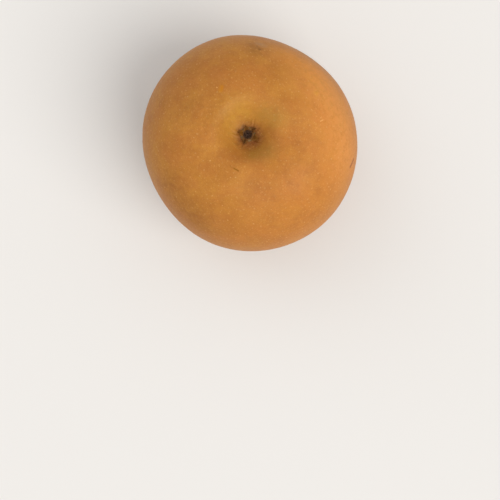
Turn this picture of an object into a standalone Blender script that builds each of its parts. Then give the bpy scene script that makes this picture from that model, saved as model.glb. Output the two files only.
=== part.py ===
# A large nashi pear, lying stem end down: the fruit, its dried calyx and its clipped stem.
# Metres, +Z up. The origin is under the middle of the fruit, on the surface that it lies on.

import math

import bmesh
import bpy
from mathutils import Matrix, Vector
from mathutils.geometry import interpolate_bezier

MM = 0.001
MERGE = 0.001 * MM

# Fruit: its outer size, and the radii and heights that its outline passes through
WIDTH_X = 106.0 * MM
WIDTH_Y = 105.6 * MM
HEIGHT = 90.5 * MM
WIDEST_Z = 46.0 * MM
CREST_RADIUS = 17.8 * MM
BASIN_DEPTH = 8.2 * MM
REST_RADIUS = 17.4 * MM
CAVITY_DEPTH = 13.0 * MM
FLAT_DEPTH = 0.3 * MM

# Sockets for the calyx, in the basin, and for the stem, in its cavity
CALYX_SOCKET_RADIUS = 3.7 * MM
CALYX_SOCKET_DEPTH = 2.4 * MM
STEM_SOCKET_RADIUS = 2.5 * MM
STEM_SOCKET_DEPTH = 3.2 * MM
SOCKET_TAPER = 0.15 * MM

# How full the outline is: the ends of its handles, as shares of each span
SHOULDER_FULLNESS = 0.56
FLANK_FULLNESS = 0.555
BASIN_FLOOR_REACH = 0.48
BASIN_CREST_REACH = 0.62
CAVITY_CREST_REACH = 0.55
CAVITY_FLOOR_REACH = 0.41
CAVITY_FLOOR_RISE = 0.86

# Growth: five low lobes, a slight unevenness, a tilted crown, and ends that sit off the middle
LOBES = 5
LOBE_ANGLE = math.radians(31.0)
LOBE_WAIST = 0.16 * MM
LOBE_CROWN = 0.36 * MM
LOBE_FOOT = 0.40 * MM
LOBE_LIFT = 0.32 * MM
OVAL_SWELL = 0.022
OVAL_ANGLE = math.radians(124.0)
TRIGON_SWELL = 0.007
TRIGON_ANGLE = math.radians(17.0)
TRIGON_TWIST = math.radians(-46.0)
CROWN_TILT = 0.6 * MM
CROWN_HIGH_ANGLE = math.radians(137.0)
BASIN_SHIFT = Vector((-0.9 * MM, 0.5 * MM, 0.0))
CAVITY_SHIFT = Vector((0.4 * MM, -0.5 * MM, 0.0))
STILL_RADIUS = 7.0 * MM
SHIFT_RADIUS = 40.0 * MM

# Mesh steps: round the fruit, and along each stretch of its outline
ROUND_STEPS = 72
BASIN_STEPS = 9
CROWN_STEPS = 13
FLANK_STEPS = 13
CAVITY_STEPS = 10

# Calyx: a small cup, five dried sepals and five style stubs
CUP_RADIUS = 3.3 * MM
CUP_WALL = 0.75 * MM
CUP_LIP_Z = 1.15 * MM
CUP_FLOOR_Z = -1.1 * MM
CUP_BASE_Z = -2.0 * MM
CUP_STEPS = 30
SEPAL_REACH = 5.5 * MM
SEPAL_WIDTH = 2.6 * MM
SEPAL_TIP = 0.24 * MM
SEPAL_THICKNESS = 0.6 * MM
SEPAL_ARCH = 0.35 * MM
SEPAL_CURL = 0.55 * MM
SEPAL_CUPPING = 0.45 * MM
SEPAL_ANGLES = (104.0, 42.0, -24.0, -115.0, 167.0)
SEPAL_SIZES = (0.92, 1.06, 1.0, 0.88, 1.04)
STYLES = 5
STYLE_RADIUS = 0.42 * MM
STYLE_LENGTH = 1.9 * MM
STYLE_ROOT = 0.35 * MM
STYLE_RING = 0.85 * MM
STYLE_TURN = math.radians(25.0)
STYLE_LEAN = math.radians(9.0)

# Stem: a short woody stalk, thicker at both ends, clipped on a slant inside its cavity
STEM_RADIUS = 2.0 * MM
STEM_WAIST = 0.87
STEM_TIP_Z = 4.4 * MM
STEM_SPARE = 2.0 * MM
STEM_BEND = Vector((1.2 * MM, 0.8 * MM, 0.0))
STEM_GAP = 0.35 * MM
STEM_POINTS = 10
CLIP_SLANT = math.radians(22.0)

# Looks: russet skin, dried calyx, woody bark
SKIN_COLOUR = (0.485, 0.205, 0.045, 1.0)
CALYX_COLOUR = (0.055, 0.030, 0.018, 1.0)
BARK_COLOUR = (0.150, 0.085, 0.040, 1.0)
SKIN_ROUGHNESS = 0.5
CALYX_ROUGHNESS = 0.8
BARK_ROUGHNESS = 0.75
SHARP_ANGLE = math.radians(40.0)


def clear_scene():
    for item in list(bpy.data.objects):
        bpy.data.objects.remove(item, do_unlink=True)


def new_collection(name):
    group = bpy.data.collections.new(name)
    bpy.context.scene.collection.children.link(group)
    return group


def plain_material(name, colour, roughness):
    material = bpy.data.materials.new(name)
    material.use_nodes = True
    shader = material.node_tree.nodes["Principled BSDF"]
    shader.inputs["Base Color"].default_value = colour
    shader.inputs["Roughness"].default_value = roughness
    shader.inputs["Metallic"].default_value = 0.0
    return material


def add_object(name, mesh, group):
    item = bpy.data.objects.new(name, mesh)
    group.objects.link(item)
    return item


def mesh_from(shape, name):
    mesh = bpy.data.meshes.new(name)
    shape.to_mesh(mesh)
    shape.free()
    return mesh


def solid_mesh(item):
    # The mesh that an object's modifiers or its curve give, with doubled points merged.
    graph = bpy.context.evaluated_depsgraph_get()
    mesh = bpy.data.meshes.new_from_object(item.evaluated_get(graph))
    shape = bmesh.new()
    shape.from_mesh(mesh)
    bmesh.ops.remove_doubles(shape, verts=shape.verts, dist=MERGE)
    shape.to_mesh(mesh)
    shape.free()
    return mesh


def finish_piece(piece, material):
    piece.data.materials.clear()
    piece.data.materials.append(material)
    piece.data.shade_smooth()
    piece.data.set_sharp_from_angle(angle=SHARP_ANGLE)


def ease(value, start, end):
    # 0 before start, 1 past end, and a smooth step between them.
    share = min(max((value - start) / (end - start), 0.0), 1.0)
    return share * share * (3.0 - 2.0 * share)


def turned(profile, steps, group):
    # A solid of revolution: the profile runs from the top of the axis down to its bottom.
    mesh = bpy.data.meshes.new("profile")
    edges = [(i, i + 1) for i in range(len(profile) - 1)]
    mesh.from_pydata([(radius, 0.0, height) for radius, height in profile], edges, [])
    blank = add_object("profile", mesh, group)
    screw = blank.modifiers.new("turn", "SCREW")
    screw.axis = "Z"
    screw.angle = 2.0 * math.pi
    screw.steps = steps
    screw.render_steps = steps
    screw.use_merge_vertices = True
    screw.merge_threshold = MERGE
    solid = solid_mesh(blank)
    bpy.data.objects.remove(blank, do_unlink=True)
    return solid


def stretch(start, leave, arrive, end, steps):
    # One smooth stretch of an outline, without its first point.
    corners = [Vector((radius, height, 0.0)) for radius, height in (start, leave, arrive, end)]
    points = interpolate_bezier(*corners, steps + 1)
    return [(point.x, point.y) for point in points[1:]]


def fruit_profile():
    widest = 0.5 * WIDTH_X
    basin_z = HEIGHT - BASIN_DEPTH
    calyx_floor_z = basin_z - CALYX_SOCKET_DEPTH
    stem_floor_z = CAVITY_DEPTH + STEM_SOCKET_DEPTH
    basin_edge = (CALYX_SOCKET_RADIUS, basin_z)
    crest = (CREST_RADIUS, HEIGHT)
    waist = (widest, WIDEST_Z)
    rest = (REST_RADIUS, 0.0)
    cavity_edge = (STEM_SOCKET_RADIUS, CAVITY_DEPTH)

    outline = [(0.0, calyx_floor_z), (CALYX_SOCKET_RADIUS - SOCKET_TAPER, calyx_floor_z), basin_edge]
    outline += stretch(
        basin_edge,
        (BASIN_FLOOR_REACH * CREST_RADIUS, basin_z),
        (BASIN_CREST_REACH * CREST_RADIUS, HEIGHT),
        crest,
        BASIN_STEPS,
    )
    outline += stretch(
        crest,
        (CREST_RADIUS + SHOULDER_FULLNESS * (widest - CREST_RADIUS), HEIGHT),
        (widest, WIDEST_Z + FLANK_FULLNESS * (HEIGHT - WIDEST_Z)),
        waist,
        CROWN_STEPS,
    )
    outline += stretch(
        waist,
        (widest, WIDEST_Z - FLANK_FULLNESS * WIDEST_Z),
        (REST_RADIUS + SHOULDER_FULLNESS * (widest - REST_RADIUS), 0.0),
        rest,
        FLANK_STEPS,
    )
    outline += stretch(
        rest,
        (CAVITY_CREST_REACH * REST_RADIUS, 0.0),
        (CAVITY_FLOOR_REACH * REST_RADIUS, CAVITY_FLOOR_RISE * CAVITY_DEPTH),
        cavity_edge,
        CAVITY_STEPS,
    )
    outline += [(STEM_SOCKET_RADIUS - SOCKET_TAPER, stem_floor_z), (0.0, stem_floor_z)]
    return outline


def grown(point):
    # Where a point of the turned blank ends up in the grown fruit.
    angle = math.atan2(point.y, point.x)
    radius = math.hypot(point.x, point.y)
    height = point.z
    crown = ease(height, WIDEST_Z, HEIGHT)
    foot = ease(height, WIDEST_Z, 0.0)
    away = ease(radius, STILL_RADIUS, REST_RADIUS)
    shift = BASIN_SHIFT if height > WIDEST_Z else CAVITY_SHIFT
    shift = shift * (1.0 - ease(radius, STILL_RADIUS, SHIFT_RADIUS))

    lobes = math.cos(LOBES * (angle - LOBE_ANGLE))
    oval = math.cos(2.0 * (angle - OVAL_ANGLE))
    trigon = math.cos(3.0 * (angle - TRIGON_ANGLE - TRIGON_TWIST * crown))
    swell = LOBE_WAIST + (LOBE_CROWN - LOBE_WAIST) * crown + (LOBE_FOOT - LOBE_WAIST) * foot
    radius *= 1.0 + away * (OVAL_SWELL * oval + TRIGON_SWELL * trigon)
    radius += away * swell * lobes
    height += away * LOBE_LIFT * (crown - foot) * lobes
    height += away * CROWN_TILT * crown * math.cos(angle - CROWN_HIGH_ANGLE)
    return Vector((radius * math.cos(angle), radius * math.sin(angle), height)) + shift


def settling(points):
    # The scaling and shift that give the fruit its size and sink its lowest ring for the flats.
    low = Vector([min(point[i] for point in points) for i in range(3)])
    high = Vector([max(point[i] for point in points) for i in range(3)])
    size = Vector((WIDTH_X, WIDTH_Y, HEIGHT + FLAT_DEPTH))
    factors = [size[i] / (high[i] - low[i]) for i in range(3)]
    anchor = Vector((0.5 * (low.x + high.x), 0.5 * (low.y + high.y), low.z))
    sink = Matrix.Translation((0.0, 0.0, -FLAT_DEPTH))
    return sink @ Matrix.Diagonal((*factors, 1.0)) @ Matrix.Translation(-anchor)


def surface_cutter(group):
    # A slab under z = 0, which cuts the lowest ring into small flats to rest on.
    thickness = 10.0 * MM
    shape = bmesh.new()
    bmesh.ops.create_cube(shape, size=1.0)
    mesh = mesh_from(shape, "surface")
    place = Matrix.Translation((0.0, 0.0, -0.5 * thickness))
    mesh.transform(place @ Matrix.Diagonal((WIDTH_X, WIDTH_Y, thickness, 1.0)))
    slab = add_object("surface", mesh, group)
    slab.hide_render = True
    slab.display_type = "WIRE"
    return slab


def make_fruit(group, cutters, material):
    # The whole pear. Returns the settling, which its calyx and its stem follow.
    mesh = turned(fruit_profile(), ROUND_STEPS, group)
    points = [grown(vertex.co) for vertex in mesh.vertices]
    settle = settling(points)
    for vertex, point in zip(mesh.vertices, points):
        vertex.co = settle @ point
    fruit = add_object("fruit", mesh, group)
    flats = fruit.modifiers.new("flats", "BOOLEAN")
    flats.operation = "DIFFERENCE"
    flats.object = surface_cutter(cutters)
    flats.solver = "EXACT"
    finish_piece(fruit, material)
    return settle


def cup_profile():
    # From the middle of the cup's floor, over its rolled lip, down to the middle of its base.
    inner = CUP_RADIUS - CUP_WALL
    bulge = CUP_RADIUS + 0.2 * CUP_WALL
    return [
        (0.0, CUP_FLOOR_Z),
        (0.7 * inner, CUP_FLOOR_Z),
        (0.95 * inner, 0.5 * CUP_FLOOR_Z),
        (inner, 0.75 * CUP_LIP_Z),
        (inner + 0.3 * CUP_WALL, CUP_LIP_Z),
        (CUP_RADIUS, 0.9 * CUP_LIP_Z),
        (bulge, 0.6 * CUP_LIP_Z),
        (CUP_RADIUS, 0.1 * CUP_LIP_Z),
        (CUP_RADIUS - 0.3 * CUP_WALL, 0.85 * CUP_BASE_Z),
        (CUP_RADIUS - 0.8 * CUP_WALL, CUP_BASE_Z),
        (0.0, CUP_BASE_Z),
    ]


def make_sepal(angle, size, group):
    # A dry pointed blade: a grid narrowed to its tip, arched and curled up, then thickened.
    root = CUP_RADIUS - 0.45 * CUP_WALL
    length = size * (SEPAL_REACH - root)
    root_z = 0.72 * CUP_LIP_Z
    shape = bmesh.new()
    bmesh.ops.create_grid(shape, x_segments=6, y_segments=4, size=1.0)
    for vertex in shape.verts:
        along = 0.5 * (vertex.co.x + 1.0)
        across = vertex.co.y
        half_width = 0.5 * (SEPAL_WIDTH * size * (1.0 - along) ** 0.8 + SEPAL_TIP)
        lift = SEPAL_ARCH * math.sin(math.pi * along) + SEPAL_CURL * along * along
        cupping = SEPAL_CUPPING * across * across * (1.0 - along)
        vertex.co = Vector((root + length * along, half_width * across, root_z + lift + cupping))
    mesh = mesh_from(shape, "blade")
    mesh.transform(Matrix.Rotation(angle, 4, "Z"))
    blade = add_object("blade", mesh, group)
    thickness = blade.modifiers.new("thickness", "SOLIDIFY")
    thickness.thickness = SEPAL_THICKNESS
    thickness.offset = 0.0


def make_style(turn, group):
    # A short tapered stub that stands in the cup, leaning a little outwards.
    shape = bmesh.new()
    bmesh.ops.create_cone(
        shape,
        cap_ends=True,
        segments=8,
        radius1=STYLE_RADIUS,
        radius2=0.6 * STYLE_RADIUS,
        depth=STYLE_LENGTH,
    )
    mesh = mesh_from(shape, "stub")
    stand = Vector((STYLE_RING, 0.0, CUP_FLOOR_Z - STYLE_ROOT + 0.5 * STYLE_LENGTH))
    lean = Matrix.Rotation(STYLE_LEAN, 4, "Y")
    mesh.transform(Matrix.Rotation(turn, 4, "Z") @ Matrix.Translation(stand) @ lean)
    add_object("stub", mesh, group)


def make_calyx(seat, group, helpers, material):
    # The cup with its sepals and stubs fused on, set in the basin's socket.
    for angle, size in zip(SEPAL_ANGLES, SEPAL_SIZES):
        make_sepal(math.radians(angle), size, helpers)
    for index in range(STYLES):
        make_style(STYLE_TURN + 2.0 * math.pi * index / STYLES, helpers)

    cup = add_object("cup", turned(cup_profile(), CUP_STEPS, group), group)
    fuse = cup.modifiers.new("fuse", "BOOLEAN")
    fuse.operation = "UNION"
    fuse.operand_type = "COLLECTION"
    fuse.collection = helpers
    fuse.solver = "EXACT"
    mesh = solid_mesh(cup)
    bpy.data.objects.remove(cup, do_unlink=True)
    for item in list(helpers.objects):
        bpy.data.objects.remove(item, do_unlink=True)

    mesh.transform(Matrix.Translation(seat))
    finish_piece(add_object("calyx", mesh, group), material)


def stalk_curve(base, group):
    # The stalk's bent middle line, a little longer than what is left after the clip.
    line = bpy.data.curves.new("stalk", "CURVE")
    line.dimensions = "3D"
    line.bevel_depth = STEM_RADIUS
    line.bevel_resolution = 4
    line.use_fill_caps = True
    spline = line.splines.new("POLY")
    spline.points.add(STEM_POINTS - 1)
    drop = Vector((0.0, 0.0, STEM_TIP_Z - STEM_SPARE - base.z))
    for index, point in enumerate(spline.points):
        share = index / (STEM_POINTS - 1)
        place = base + STEM_BEND * share * share + drop * share
        point.co = (*place, 1.0)
        point.radius = STEM_WAIST + (1.0 - STEM_WAIST) * (2.0 * share - 1.0) ** 2
    return add_object("stalk", line, group)


def make_stem(base, group, material):
    stalk = stalk_curve(base, group)
    mesh = solid_mesh(stalk)
    bpy.data.objects.remove(stalk, do_unlink=True)

    shape = bmesh.new()
    shape.from_mesh(mesh)
    bmesh.ops.bisect_plane(
        shape,
        geom=shape.verts[:] + shape.edges[:] + shape.faces[:],
        dist=MERGE,
        plane_co=Vector((base.x, base.y, STEM_TIP_Z)) + STEM_BEND,
        plane_no=Matrix.Rotation(CLIP_SLANT, 3, "Y") @ Vector((0.0, 0.0, -1.0)),
        clear_outer=True,
    )
    rim = [edge for edge in shape.edges if edge.is_boundary]
    bmesh.ops.holes_fill(shape, edges=rim, sides=0)
    bmesh.ops.recalc_face_normals(shape, faces=shape.faces)
    stem = add_object("stem", mesh_from(shape, "stem"), group)
    finish_piece(stem, material)


def build():
    clear_scene()
    pear = new_collection("nashi_pear")
    cutters = new_collection("cutters")
    helpers = new_collection("helpers")
    settle = make_fruit(pear, cutters, plain_material("skin", SKIN_COLOUR, SKIN_ROUGHNESS))

    basin_floor = Vector((0.0, 0.0, HEIGHT - BASIN_DEPTH))
    calyx_material = plain_material("calyx", CALYX_COLOUR, CALYX_ROUGHNESS)
    make_calyx(settle @ grown(basin_floor), pear, helpers, calyx_material)

    socket_floor = Vector((0.0, 0.0, CAVITY_DEPTH + STEM_SOCKET_DEPTH))
    base = settle @ grown(socket_floor) - Vector((0.0, 0.0, STEM_GAP))
    make_stem(base, pear, plain_material("bark", BARK_COLOUR, BARK_ROUGHNESS))
    bpy.data.collections.remove(helpers)


build()
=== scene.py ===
# The looks of a large nashi pear: russet skin with its pale corky spots, a dried calyx and a clipped stem.
# Metres, +Z up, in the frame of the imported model. The camera looks straight down on the calyx end.

import math

import bpy
import numpy as np
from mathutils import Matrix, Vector
from mathutils.geometry import interpolate_bezier


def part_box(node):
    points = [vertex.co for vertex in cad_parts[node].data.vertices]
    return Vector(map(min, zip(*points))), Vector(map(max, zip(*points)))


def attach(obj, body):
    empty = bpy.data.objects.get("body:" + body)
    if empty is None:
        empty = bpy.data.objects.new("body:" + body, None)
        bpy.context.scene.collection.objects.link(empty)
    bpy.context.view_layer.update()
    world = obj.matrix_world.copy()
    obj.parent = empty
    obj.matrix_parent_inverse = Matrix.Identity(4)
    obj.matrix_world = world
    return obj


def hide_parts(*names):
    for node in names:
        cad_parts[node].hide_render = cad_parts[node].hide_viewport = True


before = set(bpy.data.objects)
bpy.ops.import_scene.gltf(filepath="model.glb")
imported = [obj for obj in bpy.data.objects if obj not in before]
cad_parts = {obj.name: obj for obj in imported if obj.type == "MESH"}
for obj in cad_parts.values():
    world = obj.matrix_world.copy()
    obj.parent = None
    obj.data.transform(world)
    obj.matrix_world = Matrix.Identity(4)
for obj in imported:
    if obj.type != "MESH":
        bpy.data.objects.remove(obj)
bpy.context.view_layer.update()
print("frame:", ", ".join(sorted(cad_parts)))

mm = 0.001
origin = (0.0, 0.0, 0.0)


def tone(red, green, blue):
    # a colour from 0 to 255, as on screen, made the linear colour that a shader wants
    shares = [part / 255.0 for part in (red, green, blue)]
    linear = [part / 12.92 if part <= 0.04045 else ((part + 0.055) / 1.055) ** 2.4 for part in shares]
    return (*linear, 1.0)


# small helpers that add one node each; they take links or plain values, and the first link says in which tree

def wire(value, socket):
    if isinstance(value, bpy.types.NodeSocket):
        socket.id_data.links.new(value, socket)
    else:
        socket.default_value = value


def filled(kind, values, **settings):
    # a new node with its first inputs filled
    tree = next(value.id_data for value in values if isinstance(value, bpy.types.NodeSocket))
    node = tree.nodes.new("ShaderNode" + kind)
    for title, value in settings.items():
        setattr(node, title, value)
    for value, socket in zip(values, node.inputs):
        wire(value, socket)
    return node


def calc(operation, *values):
    return filled("Math", values, operation=operation).outputs["Value"]


def times(value, *others):
    for other in others:
        value = calc("MULTIPLY", value, other)
    return value


def plus(one, other):
    return calc("ADD", one, other)


def minus(one, other):
    return calc("SUBTRACT", one, other)


def timesPlus(value, factor, rest):
    return calc("MULTIPLY_ADD", value, factor, rest)


def vectorCalc(operation, *values):
    outputs = filled("VectorMath", values, operation=operation).outputs
    return outputs["Value" if operation in ("LENGTH", "DISTANCE", "DOT_PRODUCT") else "Vector"]


def scaled(vector, factor):
    # the two middle inputs belong to other operations
    return filled("VectorMath", (vector, origin, origin, factor), operation="SCALE").outputs["Vector"]


def vectorOf(x, y, z):
    return filled("CombineXYZ", (x, y, z)).outputs["Vector"]


def partsOf(vector):
    return filled("SeparateXYZ", (vector,)).outputs


def fromAxis(x, y):
    return vectorCalc("LENGTH", vectorOf(x, y, 0.0))


def ease(value, start, end, low=0.0, high=1.0):
    # low up to start, high from end on, and a smooth step between them
    node = filled("MapRange", (value, start, end, low, high), interpolation_type="SMOOTHSTEP")
    return node.outputs["Result"]


def noise(place, size, detail=2.0, rough=0.5, colour=False):
    # soft noise from 0 to 1, in blotches about as wide as size
    node = filled("TexNoise", (place,))
    for title, value in (("Scale", 1.0 / size), ("Detail", detail), ("Roughness", rough)):
        node.inputs[title].default_value = value
    return node.outputs["Color" if colour else 0]


def uneven(place, size, detail=2.0, rough=0.5):
    # the same noise, about zero
    return minus(noise(place, size, detail, rough), 0.5)


def jitter(place, size, detail=2.0):
    # noise about zero, another one along each axis
    return vectorCalc("SUBTRACT", noise(place, size, detail, colour=True), (0.5, 0.5, 0.5))


def wave(count, angle, start):
    # a cosine with count crests round the fruit, the first of them at start
    return calc("COSINE", times(count, minus(angle, start)))


# geometry helpers

def geometryTree(name, values):
    # a Geometry Nodes tree with one named input for each value; returns it with its inputs and its output
    tree = bpy.data.node_groups.new(name, "GeometryNodeTree")
    tree.is_modifier = True
    tree.interface.new_socket("Geometry", in_out="INPUT", socket_type="NodeSocketGeometry")
    kinds = {float: "NodeSocketFloat", int: "NodeSocketInt", tuple: "NodeSocketVector"}
    for title, value in values.items():
        kind = kinds.get(type(value), "NodeSocketMaterial")
        socket = tree.interface.new_socket(title, in_out="INPUT", socket_type=kind)
        socket.default_value = value
    tree.interface.new_socket("Geometry", in_out="OUTPUT", socket_type="NodeSocketGeometry")
    return tree, tree.nodes.new("NodeGroupInput").outputs, tree.nodes.new("NodeGroupOutput").inputs[0]


def geometryNode(tree, kind, links, **settings):
    node = tree.nodes.new("GeometryNode" + kind)
    for title, value in settings.items():
        setattr(node, title, value)
    for title, value in links.items():
        wire(value, node.inputs[title])
    return node


def inputOf(tree, kind):
    # each point's own Position or Normal
    return tree.nodes.new("GeometryNodeInput" + kind).outputs[kind]


def moved(geometry, place=None, offset=None):
    node = geometryNode(geometry.id_data, "SetPosition", {"Geometry": geometry})
    for title, value in (("Position", place), ("Offset", offset)):
        if value is not None:
            wire(value, node.inputs[title])
    return node.outputs["Geometry"]


def stored(geometry, name, value, domain="POINT"):
    # the geometry with a value kept on it under a name, for its material to read
    links = {"Geometry": geometry, "Name": name, "Value": value}
    return geometryNode(geometry.id_data, "StoreNamedAttribute", links, domain=domain).outputs["Geometry"]


def merged(geometry, distance):
    links = {"Geometry": geometry, "Distance": distance}
    return geometryNode(geometry.id_data, "MergeByDistance", links).outputs["Geometry"]


def copies(points, shape, turn, size, picked=None):
    # a copy of the shape on each point, or of the one of several shapes that is picked for it
    links = {"Points": points, "Instance": shape, "Rotation": turn, "Scale": size}
    if picked is not None:
        links.update({"Pick Instance": True, "Instance Index": picked})
    return geometryNode(points.id_data, "InstanceOnPoints", links).outputs["Instances"]


def realized(geometry):
    return geometryNode(geometry.id_data, "RealizeInstances", {"Geometry": geometry}).outputs["Geometry"]


def randomValue(tree, kind, low, high, seed):
    node = tree.nodes.new("FunctionNodeRandomValue")
    node.data_type = kind
    first, result = {"FLOAT": (2, 1), "INT": (4, 2)}[kind]  # which sockets belong to the kind
    for socket, value in zip((*node.inputs[first:first + 2], node.inputs["Seed"]), (low, high, seed)):
        wire(value, socket)
    return node.outputs[result]


def finishTree(geometry, material, end):
    # every tree ends this way, so that nothing is left as an instance
    painted = geometryNode(end.id_data, "SetMaterial", {"Geometry": realized(geometry), "Material": material})
    wire(painted.outputs["Geometry"], end)
    for index, node in enumerate(end.id_data.nodes):  # laid out in columns of six
        node.location = (220.0 * (index // 6), -190.0 * (index % 6))


def plainMesh(blank, tree, values):
    # what the tree makes of a blank, as a plain mesh; the blank and its modifiers go
    grow = blank.modifiers.new(tree.name, "NODES")
    grow.node_group = tree
    for socket in tree.interface.items_tree:
        if socket.in_out == "INPUT" and socket.name in values:
            grow[socket.identifier] = values[socket.name]
    graph = bpy.context.evaluated_depsgraph_get()
    mesh = bpy.data.meshes.new_from_object(blank.evaluated_get(graph))
    bpy.data.objects.remove(blank, do_unlink=True)
    return mesh


def inScene(name, data):
    thing = bpy.data.objects.new(name, data)
    bpy.context.scene.collection.objects.link(thing)
    return thing


def blankOf(name, points, edges=(), faces=()):
    mesh = bpy.data.meshes.new(name)
    mesh.from_pydata(points, edges, faces)
    return inScene(name, mesh)


def turnedBlank(name, profile, steps):
    # a blank that is turned on the Z axis, from the top of its profile to the bottom
    edges = [(i, i + 1) for i in range(len(profile) - 1)]
    blank = blankOf(name, [(radius, 0.0, height) for radius, height in profile], edges)
    turn = blank.modifiers.new("turn", "SCREW")
    turn.axis = "Z"
    turn.angle = 2.0 * math.pi
    turn.steps = turn.render_steps = steps
    turn.use_merge_vertices = True
    turn.merge_threshold = 0.0001 * mm
    return blank


def placePiece(name, mesh, node):
    # a finished piece in the frame: it rides on the fruit's one body and stands for a node
    mesh.name = name
    mesh.shade_smooth()
    mesh.set_sharp_from_angle(angle=math.radians(50.0))
    piece = inScene(name, mesh)
    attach(piece, "root")
    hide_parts(node)
    print(f"{name}: {sum(len(face.vertices) - 2 for face in mesh.polygons)} triangles")


# material helpers

def newMaterial(name, gloss):
    material = bpy.data.materials.new(name)
    material.use_nodes = True
    tree = material.node_tree
    shader = tree.nodes["Principled BSDF"].inputs
    shader["Specular IOR Level"].default_value = gloss
    return material, tree, shader


def objectPlace(tree):
    return tree.nodes.new("ShaderNodeTexCoord").outputs["Object"]


def attributeOf(tree, name):
    node = tree.nodes.new("ShaderNodeAttribute")
    node.attribute_name = name
    return node.outputs["Fac"]


def blend(factor, below, above):
    # two colours mixed; sockets 6, 7 and output 2 are the node's colour ones
    node = filled("Mix", (factor,), data_type="RGBA")
    wire(below, node.inputs[6])
    wire(above, node.inputs[7])
    return node.outputs[2]


def bump(relief, normal):
    # relief is a height in metres
    node = relief.id_data.nodes.new("ShaderNodeBump")
    node.inputs["Distance"].default_value = 1.0
    wire(relief, node.inputs["Height"])
    wire(node.outputs["Normal"], normal)


def nearTo(place, centre, reach):
    # 1 at a centre, easing to 0 at its reach
    return ease(vectorCalc("DISTANCE", place, centre), reach, 0.0)


def alongLine(place, start, end, reach, rim):
    # 1 from a line out to its rim, easing to 0 at its reach
    span = Vector(end) - Vector(start)
    fromStart = vectorCalc("SUBTRACT", place, start)
    share = vectorCalc("DOT_PRODUCT", fromStart, tuple(span / span.length_squared))
    share = calc("MINIMUM", calc("MAXIMUM", share, 0.0), 1.0)
    return ease(vectorCalc("DISTANCE", fromStart, scaled(tuple(span), share)), reach, rim)


def dots(place, size, seed, rim, chance):
    # round dots, one to a cell about as wide as size; rim says where each fades, and chance how many show
    node = filled("TexVoronoi", (vectorCalc("ADD", place, (seed, 0.0, 0.0)),))
    node.inputs["Scale"].default_value = 1.0 / size
    return times(ease(node.outputs["Distance"], *rim), ease(partsOf(node.outputs["Color"])[0], *chance))


# the skin's colours, shared by the skin and by the edges of its spots

skinLook = {
    "golden": tone(186, 125, 49),
    "ochre": tone(174, 112, 42),
    "russet": tone(156, 93, 37),
    "rosy": tone(184, 115, 53),
    # the next two are partly the sun-ripened and shaded tints and partly painted light and painted shade
    "ripeAndLit": tone(202, 126, 50),
    "green": tone(168, 124, 44),
    # the next two are partly the skin's tint and partly painted light and painted shade on the basin's slopes
    "yellow": tone(188, 140, 52),
    "olive": tone(148, 110, 40),
    "halo": tone(118, 64, 24),
    # painted shade where the basin is deepest, round the cup
    "calyxShade": tone(84, 48, 22),
    # deeper down the flanks: painted shade that offsets the pale sheen the flanks catch
    "flank": tone(162, 101, 22),
    "straw": tone(190, 148, 70),
    "fleck": tone(214, 160, 88),
    "pore": tone(120, 68, 18),
    "broad": 17.0 * mm,  # widths of the blotches, from the broadest to the grain
    "blush": 9.0 * mm,
    "patchy": 6.5 * mm,
    "mottle": 2.3 * mm,
    "fine": 1.1 * mm,
    "grain": 0.28 * mm,
    "fleckSizes": (1.9 * mm, 1.15 * mm),
    "poreSize": 1.4 * mm,
    # toward the key lamp: the side that faced the sun, where light is also painted
    "towardKeyLamp": (0.86, -0.5, 0.1),
    # middles of the painted light and the painted shade in the basin
    "litBasinSide": (-5.5 * mm, 6.5 * mm, 86.0 * mm),
    "shadedBasinSide": (2.0 * mm, -4.6 * mm, 83.0 * mm),
    "poreSide": (-3.1 * mm, 6.4 * mm, 83.2 * mm),
    "ring": (-0.1 * mm, -0.4 * mm, 81.6 * mm),  # middle of the halo
    "basin": (-1.0 * mm, 0.5 * mm, 81.6 * mm),
    "cavity": (0.4 * mm, -0.5 * mm, 12.7 * mm),
    "ragged": 3.6 * mm,
    "roughness": 0.48,
    "gloss": 0.17,
    "fleshGlow": 0.10,  # light that goes in and comes out redder
    "glowDepth": 2.2 * mm,
    "glowReach": (1.0, 0.42, 0.14),
    "firmBelow": 1.5,  # marks with less reach have a firm rim, and those with still less are sunk
    "firmMiddle": 0.2,  # share of the reach in which such a mark is even
    "sunkBelow": 0.9,
}

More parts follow.
